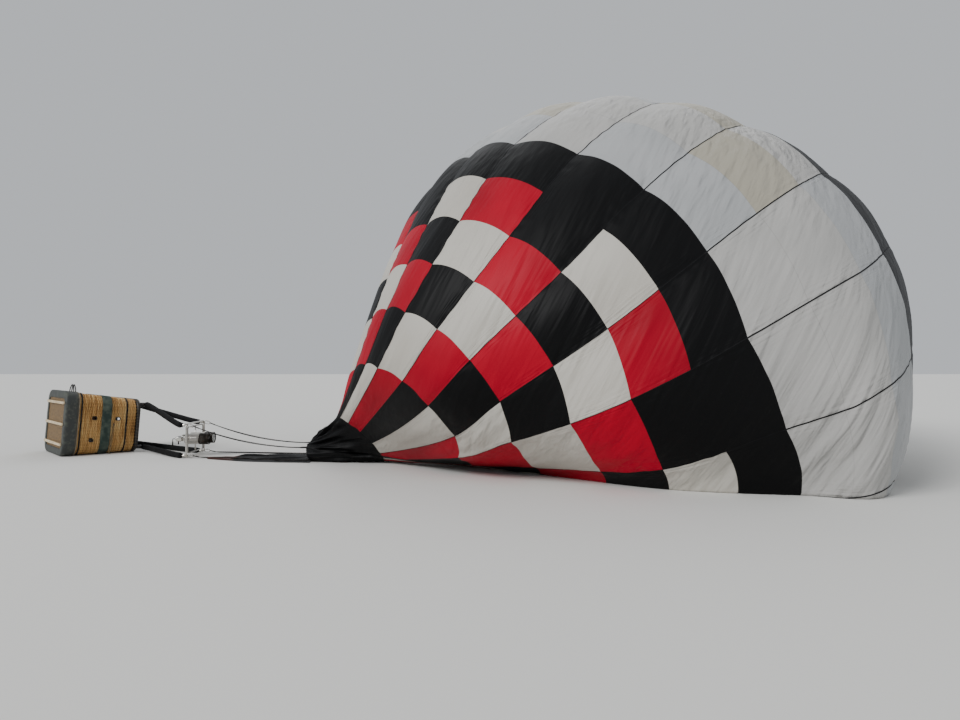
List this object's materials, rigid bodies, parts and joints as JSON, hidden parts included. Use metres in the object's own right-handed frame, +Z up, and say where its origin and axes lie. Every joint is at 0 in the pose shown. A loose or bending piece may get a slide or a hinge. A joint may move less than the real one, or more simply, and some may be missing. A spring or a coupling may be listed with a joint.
{
  "type": "hot air balloon",
  "caption": "Hot air balloon lying on its side during cold inflation: hollow gored envelope with mouth and vent, wicker basket, burner and load frame.",
  "frame": {"origin": "on the ground under the middle of the box around the whole balloon", "axes": "+X from the basket toward the crown, +Y away from the viewer, +Z up"},
  "size_m": [16.2404, 10.6818, 6.3759],
  "materials": {
    "aluminium": "brushed aluminium",
    "fabric_black": "coated ripstop cloth, soft sheen",
    "fabric_red": "coated ripstop cloth, soft sheen",
    "fabric_white": "coated ripstop cloth, soft sheen",
    "leather_black": "dark stitched hide",
    "leather_grey": "scuffed grey-green hide",
    "nylon": "dark padded nylon sleeve",
    "rope": "dark laid rope",
    "steel": "stainless tube",
    "steel_dark": "heat-darkened stainless",
    "webbing_teal": "dark woven webbing",
    "wicker": "varnished willow weave",
    "wood_brown": "brown plywood and cane",
    "wood_pale": "pale hardwood runner"
  },
  "bodies": {
    "balloon": {"basket_band": "webbing_teal", "basket_floor": "wood_brown", "basket_rim": "leather_black", "basket_runner_1": "wood_pale", "basket_runner_2": "wood_pale", "basket_runner_3": "wood_pale", "basket_strap_1": "leather_black", "basket_strap_2": "leather_black", "basket_trim": "leather_grey", "basket_walls": "wicker", "crown_ring": "aluminium", "flying_wires_1": "steel_dark", "flying_wires_2": "steel_dark", "flying_wires_3": "steel_dark", "flying_wires_4": "steel_dark", "fuel_tank_1": "aluminium", "fuel_tank_2": "aluminium", "fuel_tank_3": "aluminium", "gore_panel_1": "fabric_red", "gore_panel_2": "fabric_white", "gore_panel_3": "fabric_black", "gore_panel_4": "fabric_red", "gore_panel_5": "fabric_white", "gore_panel_6": "fabric_black", "gore_panel_7": "fabric_red", "gore_panel_8": "fabric_white", "karabiner_1": "steel", "karabiner_2": "steel", "karabiner_3": "steel", "karabiner_4": "steel", "load_frame": "steel", "mouth_band": "fabric_black", "rope_handle_1": "rope", "rope_handle_2": "rope", "scoop": "fabric_black", "upright_1": "nylon", "upright_2": "nylon", "upright_3": "nylon", "upright_4": "nylon"},
    "parachute_valve": {"parachute_panel": "fabric_black"},
    "gimbal": {"gimbal_ring": "steel_dark"},
    "burner": {"blast_valve_1": "steel_dark", "blast_valve_2": "steel_dark", "burner_block": "steel", "burner_can_1": "steel_dark", "burner_can_2": "steel_dark", "burner_coil_1": "steel", "burner_coil_2": "steel"}
  },
  "joints": [
    {"name": "parachute_slide", "type": "slide", "parent": "balloon", "child": "parachute_valve", "axis": [-0.8208, -0.5641, 0.0898], "range_m": [0, 1]},
    {"name": "gimbal_tilt", "type": "hinge", "parent": "balloon", "child": "gimbal", "pos_m": [-4.8971, -0.8093, 0.316], "axis": [0, 1, 0], "range_deg": [-15, 15]},
    {"name": "burner_swing", "type": "hinge", "parent": "gimbal", "child": "burner", "pos_m": [-4.8971, -0.8093, 0.316], "axis": [0, 0, 1], "range_deg": [-15, 15]}
  ]
}
